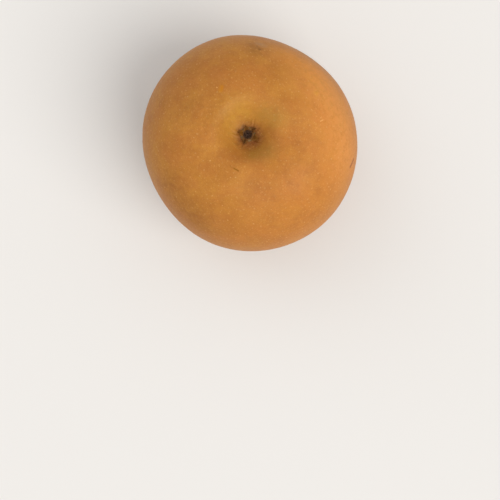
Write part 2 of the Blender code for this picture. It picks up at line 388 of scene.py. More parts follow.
skinMarks = [  # both ends and the reach in mm, the colour, and how much of it shows
    ((34.0, 24.0, 80.0), (44.0, -6.0, 74.0), 26.0, (220, 146, 74), 0.55),  # painted light and a painted pale sheen on the right shoulder, toward the key lamp
    ((-8.75, -14.5, 89.6), (-8.45, -14.8, 89.6), 0.5, (148, 92, 20), 0.6),  # start of the scar
    ((-8.35, -15.0, 89.6), (-6.95, -15.65, 89.6), 0.32, (150, 94, 22), 0.75),  # short scar
    ((-7.05, -15.55, 89.6), (-5.15, -16.75, 89.5), 0.52, (136, 84, 4), 0.95),  # its broad end
    ((49.49, -8.76, 63.3), (47.47, -12.86, 66.46), 1.15, (126, 62, 4), 0.8),  # rubbed edge
    ((50.25, -9.6, 60.2), (50.0, -10.8, 60.6), 0.5, (100, 56, 6), 0.75),  # speck by the edge
    ((4.0, 42.5, 76.0), (3.0, 37.5, 82.0), 9.0, (146, 92, 26), 0.42),  # brown top
    ((4.2, 42.9, 75.7), (5.9, 42.4, 76.2), 3.6, (166, 124, 84), 0.58),  # grey bruise
    ((0.6, 41.8, 77.4), (1.6, 38.6, 81.0), 3.8, (138, 92, 30), 0.4),  # brown beside the bruise
    ((3.4, 41.0, 78.3), (4.9, 39.7, 80.0), 1.7, (118, 76, 22), 0.46),  # its dark edge
    ((3.45, 41.45, 77.7), (3.35, 41.15, 78.1), 0.75, (110, 70, 10), 0.5),  # specks in it
    ((4.55, 39.75, 80.0), (4.4, 39.5, 80.3), 0.9, (108, 68, 8), 0.34),
    ((6.1, 40.3, 79.4), (6.0, 40.1, 79.6), 0.6, (118, 76, 16), 0.45),
    ((-12.6, 20.8, 89.5), (-12.95, 19.2, 89.8), 1.7, (186, 116, 0), 0.9),  # orange patch
    ((-14.79, 20.63, 89.3), (-14.7, 20.6, 89.3), 0.52, (220, 166, 92), 0.7),  # pale dot
    ((31.98, 6.14, 84.92), (33.27, 6.9, 84.08), 0.34, (224, 172, 100), 0.6),  # pale nick
    ((30.37, 19.57, 82.9), (30.1, 19.1, 83.1), 2.4, (210, 152, 52), 0.45),  # gold patch
    ((-17.8, -12.14, 89.11), (-17.7, -12.1, 89.11), 0.5, (218, 168, 100), 0.55),  # small dot
    ((-3.8, 3.3, 82.4), (-2.9, 4.3, 82.4), 1.6, (188, 134, 84), 0.75),  # pale flake by the calyx
    ((-1.15, 4.1, 82.3), (-1.2, 6.2, 83.1), 0.62, (196, 152, 76), 0.6),  # pale streak by the calyx
    ((1.3, -3.3, 82.4), (2.6, -2.6, 82.4), 1.6, (120, 62, 26), 0.5),  # red patch by the calyx
    ((-4.0, 7.0, 83.6), (-2.2, 6.6, 83.5), 3.6, (158, 98, 38), 0.45),  # brown above the calyx
    ((19.0, 36.0, 74.0), (28.0, 30.0, 74.0), 16.0, (210, 134, 42), 0.52),  # orange shoulder
    ((-26.0, 12.7, 86.0), (-15.7, 7.3, 89.5), 14.0, (142, 88, 24), 0.28),  # painted shade on the left of the crown
    ((-36.5, -24.0, 74.0), (-25.0, -37.0, 72.0), 16.0, (132, 78, 10), 0.42),  # painted shadow on the front left, as cast by things beside the fruit
    ((8.5, 10.5, 85.0), (12.0, 8.0, 86.5), 9.0, (176, 140, 62), 0.5),  # painted light: a paler olive on the basin wall that faces away from the key lamp
    ((2.0, -9.2, 85.8), (9.0, -8.0, 86.4), 6.5, (154, 124, 46), 0.34),  # olive below the calyx: partly the skin's tint, partly painted shade on that basin wall
    ((18.0, 49.2, 52.0), (11.5, 51.2, 47.5), 0.42, (116, 66, 20), 0.55),  # scuff on the back
    ((-50.2, 9.0, 57.0), (-51.4, 3.5, 53.5), 0.5, (210, 156, 86), 0.45),  # scuff on the left
    ((8.0, -51.5, 44.0), (10.2, -51.2, 42.6), 0.36, (104, 58, 18), 0.6),  # nick in front
    ((33.0, -36.0, 62.0), (36.0, -32.0, 64.5), 3.2, (146, 84, 30), 0.45),  # brown rub
]


def makeSkinTones(look, marks):
    tree = bpy.data.node_groups.new("skin tones", "ShaderNodeTree")
    for title, kind in (("Colour", "Color"), ("Roughness", "Float"), ("Relief", "Float")):
        tree.interface.new_socket(title, in_out="OUTPUT", socket_type="NodeSocket" + kind)
    end = tree.nodes.new("NodeGroupOutput").inputs
    place = objectPlace(tree)
    height = partsOf(place)[2]

    broad = noise(place, look["broad"], 3.0)
    patchy = noise(place, look["patchy"], 5.0, 0.6)
    mottle = noise(place, look["mottle"], 4.0, 0.6)
    fine = noise(place, look["fine"], 5.0, 0.6)
    grain = noise(place, look["grain"], 3.0, 0.6)
    blush = noise(vectorCalc("ADD", place, (0.0, 0.0, 40.0 * mm)), look["blush"])
    towardKeyLamp = timesPlus(minus(broad, 0.5), 60.0 * mm, vectorCalc("DOT_PRODUCT", place, look["towardKeyLamp"]))

    # painted light on the basin's slope toward the key lamp (yellow) and painted shade on its far slope
    # (olive), each partly the skin's own tint, and the ragged distances from its darkest places
    litBasinSlope = times(nearTo(place, look["litBasinSide"], 18.0 * mm), ease(patchy, 0.25, 0.6, 0.6, 1.0))
    shadedBasinSlope = nearTo(place, look["shadedBasinSide"], 10.0 * mm)
    ragged = times(minus(mottle, 0.5), look["ragged"])
    fromRing, fromCalyx, fromStem = (
        plus(vectorCalc("DISTANCE", place, look[centre]), ragged) for centre in ("ring", "basin", "cavity")
    )

    # russet flecks of two sizes, and dark pores, most of them beside the calyx
    tornPlace = vectorCalc("ADD", place, scaled(jitter(place, 0.5 * mm), 0.5 * mm))
    wide = dots(tornPlace, look["fleckSizes"][0], 0.0, (0.31, 0.15), (0.1, 0.9, 0.15, 1.0))
    small = dots(tornPlace, look["fleckSizes"][1], 3.0, (0.34, 0.16), (0.2, 0.9))
    fleck = timesPlus(wide, 0.24, times(small, 0.17))
    pore = dots(tornPlace, look["poreSize"], 7.0, (0.28, 0.10), (0.3, 0.7))
    poreShare = times(pore, timesPlus(nearTo(place, look["poreSide"], 8.0 * mm), 0.75, 0.08))

    layers = [  # how much of each colour shows, one over the other
        (ease(blush, 0.42, 0.62, 0.0, 0.35), "rosy"),
        (ease(towardKeyLamp, 15.0 * mm, 52.0 * mm, 0.0, 0.45), "ripeAndLit"),  # redder where it faced the sun, and painted light on the side toward the key lamp
        # greener on the far side, partly painted shade
        (ease(towardKeyLamp, -18.0 * mm, -54.0 * mm, 0.0, 0.40), "green"),
        (ease(patchy, 0.42, 0.76, 0.0, 0.50), "russet"),
        # painted light on the basin's lit slope and painted shade on its far slope, each partly the skin's
        # tint
        (times(litBasinSlope, 0.85), "yellow"),
        (times(shadedBasinSlope, 0.40), "olive"),
        (ease(fromRing, 9.2 * mm, 3.6 * mm, 0.0, 0.85), "halo"),
        # painted shade where the basin is deepest, round the cup
        (ease(fromCalyx, 5.2 * mm, 3.4 * mm, 0.0, 0.60), "calyxShade"),
        # deeper down the flanks: painted shade that offsets the pale sheen the flanks catch
        (ease(height, 89.0 * mm, 66.0 * mm, 0.0, 0.32), "flank"),
        (ease(height, 26.0 * mm, 2.0 * mm, 0.0, 0.35), "straw"),  # the stem end ripens paler
        (ease(fromStem, 9.0 * mm, 3.5 * mm, 0.0, 0.8), "halo"),  # cork round the stem
        (ease(mottle, 0.35, 0.72, 0.0, 0.26), "russet"),
        (fleck, "fleck"),
        (poreShare, "pore"),
        (ease(fine, 0.3, 0.7, 0.0, 0.12), "russet"),
        (ease(grain, 0.45, 0.70, 0.0, 0.16), "fleck"),
        (ease(grain, 0.50, 0.30, 0.0, 0.16), "pore"),
    ]
    skin = blend(ease(broad, 0.38, 0.62), look["golden"], look["ochre"])
    for share, colour in layers:
        skin = blend(share, skin, look[colour])

    # scars, scuffs and patches
    sunk = 0.0
    for start, stop, reach, colour, share in marks:
        ends = [tuple(part * mm for part in corner) for corner in (start, stop)]
        firm = reach < look["firmBelow"]
        here = alongLine(tornPlace, *ends, reach * mm, look["firmMiddle"] * reach * mm if firm else 0.0)
        if not firm:
            here = times(here, ease(mottle, 0.32, 0.60, 0.45, 1.0))
        if reach < look["sunkBelow"]:
            sunk = plus(here, sunk)
        skin = blend(times(here, share), skin, tone(*colour))

    wire(skin, end["Colour"])
    wire(ease(fine, 0.25, 0.75, look["roughness"] - 0.05, look["roughness"] + 0.07), end["Roughness"])
    relief = timesPlus(grain, 0.010 * mm, times(fine, 0.022 * mm))
    for part, rise in ((fleck, 0.04 * mm), (pore, -0.02 * mm), (sunk, -0.02 * mm)):
        relief = timesPlus(part, rise, relief)
    wire(relief, end["Relief"])
    return tree


skinTones = makeSkinTones(skinLook, skinMarks)


def makeSkinMaterial(name, look, gloss):
    # also returns what a spot paints over
    material, tree, shader = newMaterial(name, gloss)
    node = tree.nodes.new("ShaderNodeGroup")
    node.node_tree = skinTones
    colour, roughness, relief = node.outputs
    wire(colour, shader["Base Color"])
    wire(roughness, shader["Roughness"])
    shader["Subsurface Weight"].default_value = look["fleshGlow"]
    shader["Subsurface Radius"].default_value = look["glowReach"]
    shader["Subsurface Scale"].default_value = look["glowDepth"]
    bump(relief, shader["Normal"])
    return material, shader, colour, roughness


# the skin: the solid's outline at a fine pitch, grown uneven in the same way

outline = {
    "widest": 53.0 * mm,
    "height": 90.5 * mm,
    "widestHeight": 46.0 * mm,
    "crestRadius": 17.8 * mm,
    "basinDepth": 8.2 * mm,
    "restRadius": 17.4 * mm,
    "cavityDepth": 13.0 * mm,
    "calyxSocket": (3.38 * mm, 2.4 * mm),  # radius and depth, close round the cup
    "stemSocket": (2.24 * mm, 3.2 * mm),
    "taper": 0.15 * mm,
    "shoulder": 0.56,  # how full the shoulders are
    "flank": 0.555,
    "basinReach": (0.48, 0.62),
    "cavityReach": (0.55, 0.41),
    "cavityRise": 0.86,
    "rows": (58, 66, 66, 58),
    "turns": 352,
}

growth = {
    "height": 90.5 * mm,
    "widest height": 46.0 * mm,
    "still radius": 7.0 * mm,  # the sockets keep their place inside this
    "rest radius": 17.4 * mm,
    "shift radius": 40.0 * mm,
    "lobes": 5.0,
    "lobe angle": math.radians(31.0),
    "lobe at waist": 0.16 * mm,
    "lobe at crown": 0.36 * mm,
    "lobe at foot": 0.40 * mm,
    "lobe lift": 0.32 * mm,
    "oval swell": 0.022,
    "oval angle": math.radians(124.0),
    "trigon swell": 0.007,
    "trigon angle": math.radians(17.0),
    "trigon twist": math.radians(-46.0),
    "crown tilt": 0.6 * mm,
    "crown high angle": math.radians(137.0),
    "basin shift": (-0.9 * mm, 0.5 * mm, 0.0),
    "cavity shift": (0.4 * mm, -0.5 * mm, 0.0),
    "swell": 0.10 * mm,  # low swells all over, about 9 mm apart
    "dimple": 0.022 * mm,  # and faint dimples, about 3 mm apart
    "level radius": 4.2 * mm,  # neither of them inside this
    "pleats": 11.0,
    "pleat depth": 0.16 * mm,
    "pleat reach": 10.0 * mm,  # they deepen from this radius
    "pleat full": 4.6 * mm,  # to this one, and fade between the next two
    "pleat fade": 5.2 * mm,
    "pleat end": 3.75 * mm,
    "pleat wander": 2.6,
}

settling = {"flatDepth": 0.3 * mm, "inset": 0.06 * mm}


def stretch(start, leave, arrive, end, rows):
    corners = [Vector((radius, height, 0.0)) for radius, height in (start, leave, arrive, end)]
    return [(point.x, point.y) for point in interpolate_bezier(*corners, rows + 1)[1:]]


def pearProfile(size):
    # from the floor of the calyx socket, over the crest and the waist, to the floor of the stem socket
    widest, height, waistHeight = size["widest"], size["height"], size["widestHeight"]
    basinHeight = height - size["basinDepth"]
    calyxRadius, calyxDepth = size["calyxSocket"]
    stemRadius, stemDepth = size["stemSocket"]
    basinEdge = (calyxRadius, basinHeight)
    crest = (size["crestRadius"], height)
    waist = (widest, waistHeight)
    rest = (size["restRadius"], 0.0)
    cavityEdge = (stemRadius, size["cavityDepth"])
    floor, roof = size["basinReach"]
    crestShare, floorShare = size["cavityReach"]
    basinRows, crownRows, flankRows, cavityRows = size["rows"]

    pitHeight = basinHeight - calyxDepth
    profile = [(0.0, pitHeight), (calyxRadius - size["taper"], pitHeight), basinEdge]
    leave, arrive = (floor * crest[0], basinHeight), (roof * crest[0], height)
    profile += stretch(basinEdge, leave, arrive, crest, basinRows)
    leave = (crest[0] + size["shoulder"] * (widest - crest[0]), height)
    arrive = (widest, waistHeight + size["flank"] * (height - waistHeight))
    profile += stretch(crest, leave, arrive, waist, crownRows)
    leave = (widest, waistHeight * (1.0 - size["flank"]))
    arrive = (rest[0] + size["shoulder"] * (widest - rest[0]), 0.0)
    profile += stretch(waist, leave, arrive, rest, flankRows)
    arrive = (floorShare * rest[0], size["cavityRise"] * cavityEdge[1])
    profile += stretch(rest, (crestShare * rest[0], 0.0), arrive, cavityEdge, cavityRows)
    socketFloor = cavityEdge[1] + stemDepth
    return profile + [(stemRadius - size["taper"], socketFloor), (0.0, socketFloor)]


def growthTree(values):
    tree, size, end = geometryTree("pear growth", values)
    place = inputOf(tree, "Position")
    x, y, z = partsOf(place)
    angle = calc("ARCTAN2", y, x)
    radius = fromAxis(x, y)

    crown = ease(z, size["widest height"], size["height"])
    foot = ease(z, size["widest height"], 0.0)
    away = ease(radius, size["still radius"], size["rest radius"])
    upper = calc("GREATER_THAN", z, size["widest height"])
    lower = minus(1.0, upper)
    shift = vectorCalc("ADD", scaled(size["basin shift"], upper), scaled(size["cavity shift"], lower))
    shift = scaled(shift, ease(radius, size["still radius"], size["shift radius"], 1.0, 0.0))

    # lobes, an oval and a slight trigon make it uneven all round
    lobes = wave(size["lobes"], angle, size["lobe angle"])
    oval = wave(2.0, angle, size["oval angle"])
    trigon = wave(3.0, angle, plus(size["trigon angle"], times(size["trigon twist"], crown)))
    swollen = timesPlus(size["trigon swell"], trigon, times(size["oval swell"], oval))
    atCrown = minus(size["lobe at crown"], size["lobe at waist"])
    atFoot = minus(size["lobe at foot"], size["lobe at waist"])
    lobe = timesPlus(atFoot, foot, timesPlus(atCrown, crown, size["lobe at waist"]))
    grownRadius = times(radius, timesPlus(away, swollen, 1.0))
    grownRadius = timesPlus(away, times(lobe, lobes), grownRadius)

    lift = times(size["lobe lift"], minus(crown, foot), lobes)
    tilt = times(size["crown tilt"], crown, calc("COSINE", minus(angle, size["crown high angle"])))
    grownHeight = timesPlus(away, plus(lift, tilt), z)

    # small pleats of skin that run into the calyx and the stem
    wander = times(noise(place, 9.0 * mm), size["pleat wander"])
    pleats = wave(size["pleats"], plus(angle, wander), 0.0)
    pleatZone = ease(radius, size["pleat reach"], size["pleat full"])
    pleatZone = times(pleatZone, ease(radius, size["pleat end"], size["pleat fade"]))
    grownHeight = plus(grownHeight, times(pleats, pleatZone, size["pleat depth"]))

    across = times(grownRadius, calc("COSINE", angle))
    along = times(grownRadius, calc("SINE", angle))
    grown = vectorCalc("ADD", vectorOf(across, along, grownHeight), shift)
    shape = moved(size["Geometry"], place=grown)

    # low swells and faint dimples, along the normal
    swells = times(uneven(place, 9.0 * mm, 1.0), size["swell"], 2.0)
    dimples = times(uneven(place, 3.0 * mm, 1.0), size["dimple"])
    push = times(timesPlus(dimples, 2.0, swells), ease(radius, size["level radius"], size["still radius"]))
    shape = moved(shape, offset=scaled(inputOf(tree, "Normal"), push))
    finishTree(shape, size["skin"], end)
    return tree


def settle(mesh, sizes):
    # scales the grown pear to the solid's box, sinks its lowest ring and flattens it where it rests
    low, high = (np.array(corner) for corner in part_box("fruit"))
    low[:2] += sizes["inset"]
    high -= sizes["inset"]
    low[2] = -sizes["flatDepth"]
    points = np.empty(3 * len(mesh.vertices), np.float32)
    mesh.vertices.foreach_get("co", points)
    points = points.reshape(-1, 3)
    least, most = points.min(axis=0), points.max(axis=0)
    points = low + (points - least) * (high - low) / (most - least)
    points[:, 2] = np.maximum(points[:, 2], 0.0)
    mesh.vertices.foreach_set("co", points.astype(np.float32).ravel())
    mesh.update()


growth["skin"] = makeSkinMaterial("russet skin", skinLook, skinLook["gloss"])[0]
skinMesh = plainMesh(turnedBlank("pear", pearProfile(outline), outline["turns"]), growthTree(growth), growth)
settle(skinMesh, settling)
placePiece("pearSkin", skinMesh, "fruit")


# corky spots: small low domes scattered over the skin, their edges melting into it

spots = {
    "most": 900000.0,  # to a square metre, before the spacing thins them
    "spacing": 2.1 * mm,
    "smallest": 0.30 * mm,  # radii
    "largest": 0.66 * mm,
    "rarity": 1.7,  # the higher, the fewer large ones
    "slimmest": 0.72,
    "jag": 0.9,  # how far out of round
    "rise": 0.035 * mm,
    "sink": 0.45,  # share of the rise that the rim is sunk by
    "lowest": 0.45 * mm,  # none where the fruit rests
    "clear of ends": 4.6 * mm,
    "small within": 22.0 * mm,
    "small share": 0.6,
    "sides": 8,
    "seed": 11,
}
spotKinds = 5
spotLook = {
    "cork": tone(200, 148, 80),
    "paleCork": tone(222, 176, 110),
    "faintest": 0.20,  # how much of that colour shows
    "boldest": 0.62,
    "onCrown": 0.52,  # what is left of it on the crown
    "gloss": 0.2,
}


def makeSpotMaterial(look):
    material, shader, skin, roughness = makeSkinMaterial("corky spot", skinLook, look["gloss"])
    tree = skin.id_data
    shade = attributeOf(tree, "spot shade")
    cork = blend(shade, look["cork"], look["paleCork"])
    share = times(
        ease(attributeOf(tree, "to rim"), 0.95, 0.1),
        ease(shade, 0.0, 1.0, look["faintest"], look["boldest"]),
    )
    height = partsOf(objectPlace(tree))[2]
    share = times(share, ease(height, 60.0 * mm, 88.0 * mm, 1.0, look["onCrown"]))
    wire(blend(share, skin, cork), shader["Base Color"])
    wire(timesPlus(share, 0.18, roughness), shader["Roughness"])
    return material


def spotTree(values):
    tree, size, end = geometryTree("corky spots", values)
    place = inputOf(tree, "Position")
    x, y, z = partsOf(place)
    radius = fromAxis(x, y)
    free = times(calc("GREATER_THAN", z, size["lowest"]), calc("GREATER_THAN", radius, size["clear of ends"]))
    links = {"Mesh": size["Geometry"], "Selection": free, "Distance Min": size["spacing"]}
    links.update({"Density Max": size["most"], "Seed": size["seed"]})
    scatter = geometryNode(tree, "DistributePointsOnFaces", links, distribute_method="POISSON")

    # a few domes of radius 1, each a little out of round, to pick from
    domes = tree.nodes.new("GeometryNodeJoinGeometry")
    links = {"Vertices": size["sides"], "Side Segments": 2}
    links.update({"Radius Top": 0.0, "Radius Bottom": 1.0, "Depth": 1.0})
    for kind in range(spotKinds):
        cone = geometryNode(tree, "MeshCone", links, fill_type="NGON")
        crest = minus(1.0, times(radius, radius))
        dome = minus(times(crest, plus(1.0, size["sink"])), size["sink"])
        elsewhere = vectorCalc("ADD", place, (7.3 * kind, 2.1, 0.0))
        jagX, jagY = partsOf(scaled(jitter(elsewhere, 0.9), times(radius, size["jag"])))[:2]
        shaped = stored(cone.outputs["Mesh"], "to rim", radius)
        shaped = moved(shaped, place=vectorOf(plus(x, jagX), plus(y, jagY), dome))
        single = geometryNode(tree, "GeometryToInstance", {"Geometry": shaped})
        wire(single.outputs["Instances"], domes.inputs["Geometry"])

    # each spot has its own size, turn and shade, and those in the basin are smaller
    luck = randomValue(tree, "FLOAT", 0.0, 1.0, 1)
    spread = times(minus(size["largest"], size["smallest"]), calc("POWER", luck, size["rarity"]))
    width = plus(size["smallest"], spread)
    width = times(width, ease(radius, 4.0 * mm, size["small within"], size["small share"], 1.0))
    slim = times(width, randomValue(tree, "FLOAT", size["slimmest"], 1.0, 2))
    spin = tree.nodes.new("FunctionNodeAxisAngleToRotation")
    spin.inputs["Axis"].default_value = (0.0, 0.0, 1.0)
    wire(randomValue(tree, "FLOAT", 0.0, 2.0 * math.pi, 3), spin.inputs["Angle"])
    stand = tree.nodes.new("FunctionNodeRotateRotation")
    stand.rotation_space = "LOCAL"
    wire(scatter.outputs["Rotation"], stand.inputs["Rotation"])
    wire(spin.outputs["Rotation"], stand.inputs["Rotate By"])
    picked = randomValue(tree, "INT", 0, spotKinds - 1, 4)
    each = copies(
        scatter.outputs["Points"],
        domes.outputs["Geometry"],
        stand.outputs["Rotation"],
        vectorOf(width, slim, size["rise"]),
        picked,
    )
    each = stored(each, "spot shade", randomValue(tree, "FLOAT", 0.0, 1.0, 5), "INSTANCE")
    finishTree(each, size["cork"], end)
    return tree


spots["cork"] = makeSpotMaterial(spotLook)
spotBlank = inScene("spots", skinMesh.copy())
placePiece("corkySpots", plainMesh(spotBlank, spotTree(spots), spots), "fruit")


# the calyx: a withered cup, five curled sepals, and the dry threads and styles that stand in it

seat = (-0.95 * mm, 0.655 * mm, 81.56 * mm)  # the middle of the basin's floor

cup = {
    "profile": [  # radius and height from the seat, in mm, from the middle of the pit down to the base
        (0.0, -1.05), (0.6, -1.06), (1.12, -0.94), (1.5, -0.64), (1.78, -0.2), (2.0, 0.26),
        (2.2, 0.64), (2.44, 0.9), (2.76, 1.0), (3.0, 0.84), (3.14, 0.5), (3.26, 0.2),
        (3.42, 0.02), (3.36, -0.3), (3.1, -0.9), (2.9, -1.6), (2.5, -1.95), (0.0, -1.95),
    ],
    "steps": 3,  # for each stretch of the profile
    "turns": 120,
}

cupGrowth = {
    "folds": 5.0,
    "fold depth": 0.30 * mm,
    "wobble": 0.55 * mm,
    "fold start": math.radians(104.0),
    "torn depth": 0.75 * mm,
    "lip height": 1.0 * mm,
    "crust": 0.10 * mm,
    "seat": seat,
}

sepals = {
    "root radius": 2.45 * mm,
    "root height": 0.62 * mm,
    "length": 2.9 * mm,
    "width": 2.7 * mm,
    "thickness": 0.46 * mm,
    "arch": 0.36 * mm,
    "curl": 0.62 * mm,
    "hook": 0.55 * mm,
    "cupping": 0.42 * mm,
    "rib": 0.20 * mm,
    "furrow": 0.045 * mm,
    "ragged": 0.30,
    "shrivel": 0.42 * mm,
    "seat": seat,
}
sepalSet = [  # turn in degrees, size, twist and pitch in degrees, and how faded it is
    (108.0, 0.82, 10.0, -6.0, 0.35),
    (33.0, 0.92, -12.0, 3.0, 0.05),
    (-28.0, 1.12, -4.0, 2.0, 0.45),
    (-115.0, 0.94, -9.0, 4.0, 0.05),
    (176.0, 0.92, 14.0, -2.0, 0.60),
]

threads = {
    "count": 21,
    "ring": 1.55 * mm,
    "length": 2.0 * mm,
    "thickness": 0.10 * mm,
    "foot": -0.35 * mm,
    "bow": 0.55 * mm,
    "lean": 0.75,
    "taper": 0.55,
    "shortest": 0.6,
    "shrivel": 0.5 * mm,
    "seed": 5,
    "seat": seat,
}

styles = dict(  # as the threads, apart from these
    threads,
    count=5,
    ring=0.62 * mm,
    length=1.75 * mm,
    thickness=0.24 * mm,
    foot=-1.15 * mm,
    bow=0.22 * mm,
    lean=0.28,
    shrivel=0.25 * mm,
    seed=8,
)

dryLook = {
    "cup": {"dark": tone(54, 40, 40), "brown": tone(84, 60, 44), "worn": tone(128, 110, 74)},
    "sepal": {"dark": tone(58, 34, 8), "brown": tone(92, 54, 16), "worn": tone(146, 100, 50)},
    "thread": {"dark": tone(70, 52, 48), "brown": tone(98, 74, 58), "worn": tone(130, 104, 78)},
    "wornShare": {"cup": 0.9, "sepal": 0.45, "thread": 0.6},
    "blotch": {"cup": 1.1 * mm, "sepal": 0.9 * mm, "thread": 0.7 * mm},
    "grit": 0.25 * mm,
    "gritDepth": 0.09 * mm,
    "darkWall": tone(92, 60, 30),  # the cup's outside
    "paleWall": tone(136, 94, 50),
    "faded": tone(116, 72, 14),
    "gloss": 0.1,
}


def cupTree(values):
    tree, size, end = geometryTree("withered cup", values)
    place = inputOf(tree, "Position")
    x, y, z = partsOf(place)
    reach = fromAxis(x, y)
    lip = ease(z, times(size["lip height"], 0.1), size["lip height"])
    folds = times(wave(size["folds"], calc("ARCTAN2", y, x), size["fold start"]), size["fold depth"])
    outward = vectorCalc("NORMALIZE", vectorOf(x, y, 0.0))
    around = scaled(outward, 3.0 * mm)
    wobble = uneven(around, 2.4 * mm, 1.0)
    push = times(timesPlus(wobble, size["wobble"], folds), lip)
    shape = moved(size["Geometry"], offset=scaled(outward, push))
    torn = minus(noise(around, 1.5 * mm, 3.0, 0.7), 0.62)
    torn = times(torn, size["torn depth"], times(lip, 2.0))
    shape = moved(shape, offset=vectorOf(0.0, 0.0, torn))
    crust = times(uneven(place, 0.55 * mm, 3.0, 0.6), 2.0, size["crust"])
    shape = moved(shape, offset=scaled(inputOf(tree, "Normal"), crust))
    between = ease(calc("DIVIDE", folds, size["fold depth"]), 0.5, -0.6, 0.15, 1.0)
    shape = stored(shape, "to edge", times(ease(reach, 2.55 * mm, 2.9 * mm), between))
    # paler outward and darker into the middle of the pit: partly the dry tissue's colour, partly painted
    # shade in the pit
    shape = stored(shape, "outer wall", ease(timesPlus(wobble, 1.4 * mm, reach), 0.3 * mm, 3.3 * mm))
    finishTree(moved(shape, offset=size["seat"]), size["dry"], end)
    return tree


def namedValue(tree, name):
    node = geometryNode(tree, "InputNamedAttribute", {"Name": name}, data_type="FLOAT")
    return node.outputs["Attribute"]


def sepalTree(values):
    tree, size, end = geometryTree("curled sepals", values)
    place = inputOf(tree, "Position")
    x, y = partsOf(place)[:2]
    along = plus(x, 0.5)  # 0 at the root, 1 at the tip
    across = times(y, 2.0)  # from -1 to 1
    left = minus(1.0, along)
    square = times(across, across)

    # half the blade's width, torn along both edges
    half = timesPlus(left, 0.30, ease(along, 0.86, 0.25, 0.0, 0.80))
    tear = uneven(vectorOf(times(along, 5.0), calc("SIGN", across), 0.0), 1.0, 3.0, 0.7)
    half = times(half, plus(times(tear, times(size["ragged"], 2.4)), 1.0))
    half = times(plus(half, 0.05), times(size["width"], 0.5))
    bladeX = timesPlus(size["length"], along, size["root radius"])
    bladeY = times(half, across)

    # its arch, curl and hooked tip, the cupped sides, the middle rib and the furrows
    rise = times(calc("SINE", times(along, math.pi)), size["arch"])
    rise = timesPlus(times(along, along), size["curl"], rise)
    rise = minus(rise, times(calc("POWER", along, 5.0), size["hook"]))
    rise = timesPlus(times(square, left), size["cupping"], rise)
    rib = calc("POWER", minus(1.0, calc("ABSOLUTE", across)), 3.0)
    rise = timesPlus(times(rib, left), size["rib"], rise)
    furrow = times(calc("COSINE", times(across, 11.0)), left)
    rise = plus(timesPlus(furrow, size["furrow"], rise), size["root height"])
    rim = calc("SQRT", calc("MAXIMUM", minus(1.0, square), 0.0))
    rim = times(rim, ease(along, 1.0, 0.82), ease(along, 0.0, 0.08))
    toEdge = calc("MAXIMUM", calc("ABSOLUTE", across), ease(along, 0.55, 1.0))

    # its upper and its lower face, sewn together along the rim
    sides = tree.nodes.new("GeometryNodeJoinGeometry")
    links = {"Size X": 1.0, "Size Y": 1.0, "Vertices X": 26, "Vertices Y": 17}
    for side in (0.5, -0.5):
        grid = geometryNode(tree, "MeshGrid", links)
        bladeZ = plus(rise, times(rim, times(size["thickness"], side)))
        face = moved(stored(grid.outputs["Mesh"], "to edge", toEdge), place=vectorOf(bladeX, bladeY, bladeZ))
        if side < 0.0:
            face = geometryNode(tree, "FlipFaces", {"Mesh": face}).outputs["Mesh"]
        wire(face, sides.inputs["Geometry"])
    blade = merged(sides.outputs["Geometry"], 0.001 * mm)

    # one blade for each point of the blank, which holds its turn, size, twist and pitch
    turned = vectorOf(namedValue(tree, "twist"), namedValue(tree, "pitch"), namedValue(tree, "turn"))
    whole = realized(copies(size["Geometry"], blade, turned, namedValue(tree, "size")))
    amount = times(ease(fromAxis(x, y), 2.6 * mm, 5.2 * mm, 0.25, 1.0), times(size["shrivel"], 2.0))
    whole = moved(whole, offset=scaled(jitter(place, 1.7 * mm), amount))
    finishTree(moved(whole, offset=size["seat"]), size["dry"], end)
    return tree


def threadTree(values):
    tree, size, end = geometryTree("dry threads", values)
    ring = geometryNode(tree, "MeshCircle", {"Vertices": size["count"], "Radius": size["ring"]})
    bow = geometryNode(tree, "CurveQuadraticBezier", {
        "Resolution": 9,
        "Start": origin,
        "Middle": vectorOf(size["bow"], 0.0, times(size["length"], 0.6)),
        "End": vectorOf(times(size["bow"], -0.6), 0.0, size["length"]),
    })
    share = tree.nodes.new("GeometryNodeSplineParameter").outputs["Factor"]
    links = {"Curve": bow.outputs["Curve"], "Radius": ease(share, 0.0, 1.0, 1.0, size["taper"])}
    tapered = geometryNode(tree, "SetCurveRadius", links)
    rod = geometryNode(tree, "CurvePrimitiveCircle", {"Resolution": 7, "Radius": size["thickness"]})
    links = {"Curve": tapered.outputs["Curve"], "Profile Curve": rod.outputs["Curve"], "Fill Caps": True}
    thread = stored(geometryNode(tree, "CurveToMesh", links).outputs["Mesh"], "to edge", share)
    lean = randomValue(tree, "FLOAT", -1.0, 1.0, size["seed"])
    tip = randomValue(tree, "FLOAT", -1.0, 1.0, plus(size["seed"], 1.0))
    turn = randomValue(tree, "FLOAT", 0.0, 2.0 * math.pi, plus(size["seed"], 2.0))
    tall = randomValue(tree, "FLOAT", size["shortest"], 1.0, plus(size["seed"], 3.0))
    posed = vectorOf(times(lean, size["lean"]), times(tip, size["lean"]), turn)
    whole = realized(copies(ring.outputs["Mesh"], thread, posed, tall))
    whole = moved(whole, offset=scaled(jitter(inputOf(tree, "Position"), 1.3 * mm, 1.0), size["shrivel"]))
    whole = moved(whole, offset=vectorOf(0.0, 0.0, size["foot"]))
    finishTree(moved(whole, offset=size["seat"]), size["dry"], end)
    return tree


